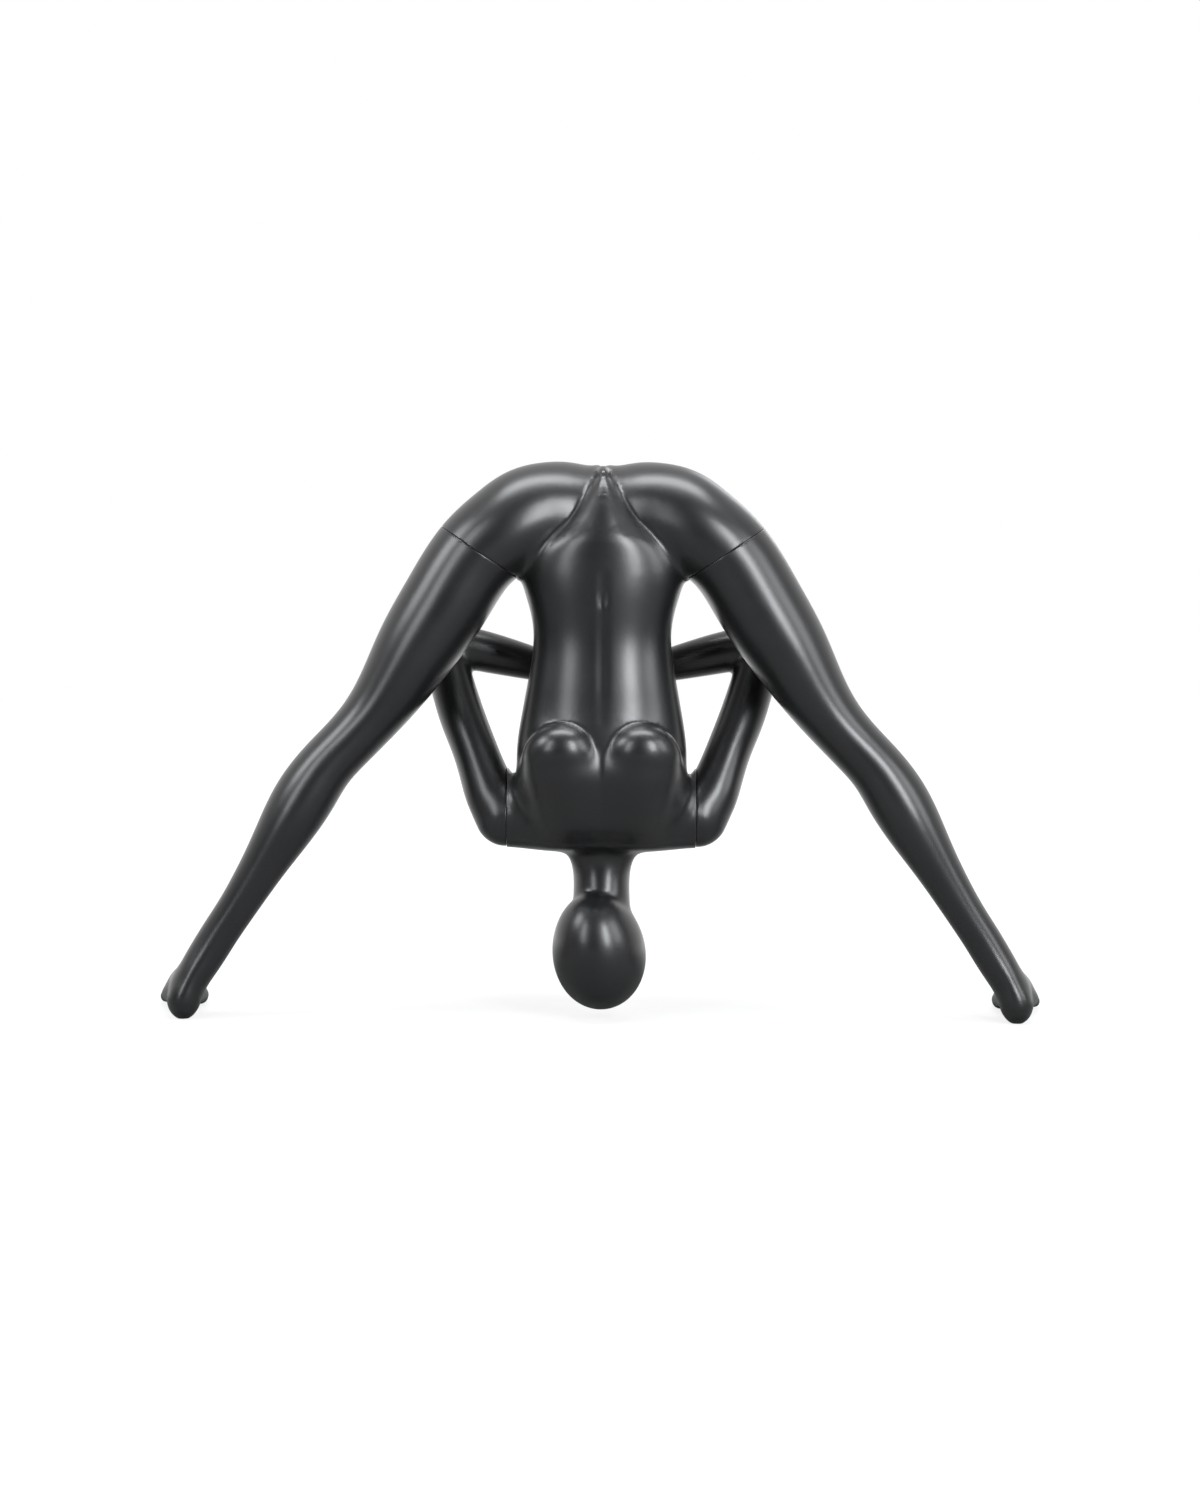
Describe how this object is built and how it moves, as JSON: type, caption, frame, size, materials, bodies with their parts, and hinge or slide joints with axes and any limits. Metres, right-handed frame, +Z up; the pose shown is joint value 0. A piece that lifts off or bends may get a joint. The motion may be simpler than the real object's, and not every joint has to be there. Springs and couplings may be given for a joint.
{
  "type": "full body mannequin",
  "caption": "Egg-headed display mannequin folded forward over wide-spread legs, with limbs that unlock at shoulder, wrist and thigh fittings.",
  "frame": {"origin": "centre of the bounding box on the floor between the feet", "axes": "+X towards the figure's right foot, +Y the way its toes point, +Z up"},
  "size_m": [1.4325, 0.3198, 0.88],
  "materials": {
    "shell": "satin black lacquer on fibreglass",
    "board": "raw plywood",
    "steel": "zinc plated"
  },
  "bodies": {
    "torso": {"torso_shell": "shell", "left_shoulder_board": "board", "left_shoulder_plate": "steel", "left_shoulder_screw_1": "steel", "left_shoulder_screw_2": "steel", "left_thigh_board": "board", "left_leg_spigot": "steel", "left_thigh_dowel": "board", "left_spigot_screw_1": "steel", "left_spigot_screw_2": "steel", "right_shoulder_board": "board", "right_shoulder_plate": "steel", "right_shoulder_screw_1": "steel", "right_shoulder_screw_2": "steel", "right_thigh_board": "board", "right_leg_spigot": "steel", "right_thigh_dowel": "board", "right_spigot_screw_1": "steel", "right_spigot_screw_2": "steel"},
    "left_arm": {"left_arm_shell": "shell", "left_arm_board": "board", "left_arm_stud": "steel", "left_arm_screw_1": "steel", "left_arm_screw_2": "steel", "left_wrist_plug": "board", "left_wrist_plate": "steel"},
    "left_hand": {"left_hand": "shell", "left_hand_stud": "steel"},
    "left_leg": {"left_leg_shell": "shell", "left_leg_board": "board", "left_leg_socket": "steel", "left_socket_screw_1": "steel", "left_socket_screw_2": "steel"},
    "right_arm": {"right_arm_shell": "shell", "right_arm_board": "board", "right_arm_stud": "steel", "right_arm_screw_1": "steel", "right_arm_screw_2": "steel", "right_wrist_plug": "board", "right_wrist_plate": "steel"},
    "right_hand": {"right_hand": "shell", "right_hand_stud": "steel"},
    "right_leg": {"right_leg_shell": "shell", "right_leg_board": "board", "right_leg_socket": "steel", "right_socket_screw_1": "steel", "right_socket_screw_2": "steel"}
  },
  "joints": [
    {"name": "left_arm_turn", "type": "hinge", "parent": "torso", "child": "left_arm", "pos_m": [-0.15, -0.0116, 0.326], "axis": [-1, 0, 0], "range_deg": [0, 60]},
    {"name": "left_hand_turn", "type": "hinge", "parent": "left_arm", "child": "left_hand", "pos_m": [-0.06, 0.1049, 0.5445], "axis": [1, 0, 0], "range_deg": [0, 90]},
    {"name": "left_leg_pull", "type": "slide", "parent": "torso", "child": "left_leg", "axis": [-0.5519, 0, -0.8339], "range_m": [0, 0.085]},
    {"name": "right_arm_turn", "type": "hinge", "parent": "torso", "child": "right_arm", "pos_m": [0.15, -0.0116, 0.326], "axis": [-1, 0, 0], "range_deg": [0, 60]},
    {"name": "right_hand_turn", "type": "hinge", "parent": "right_arm", "child": "right_hand", "pos_m": [0.06, 0.1049, 0.5445], "axis": [1, 0, 0], "range_deg": [0, 90]},
    {"name": "right_leg_pull", "type": "slide", "parent": "torso", "child": "right_leg", "axis": [0.5519, 0, -0.8339], "range_m": [0, 0.085]}
  ]
}
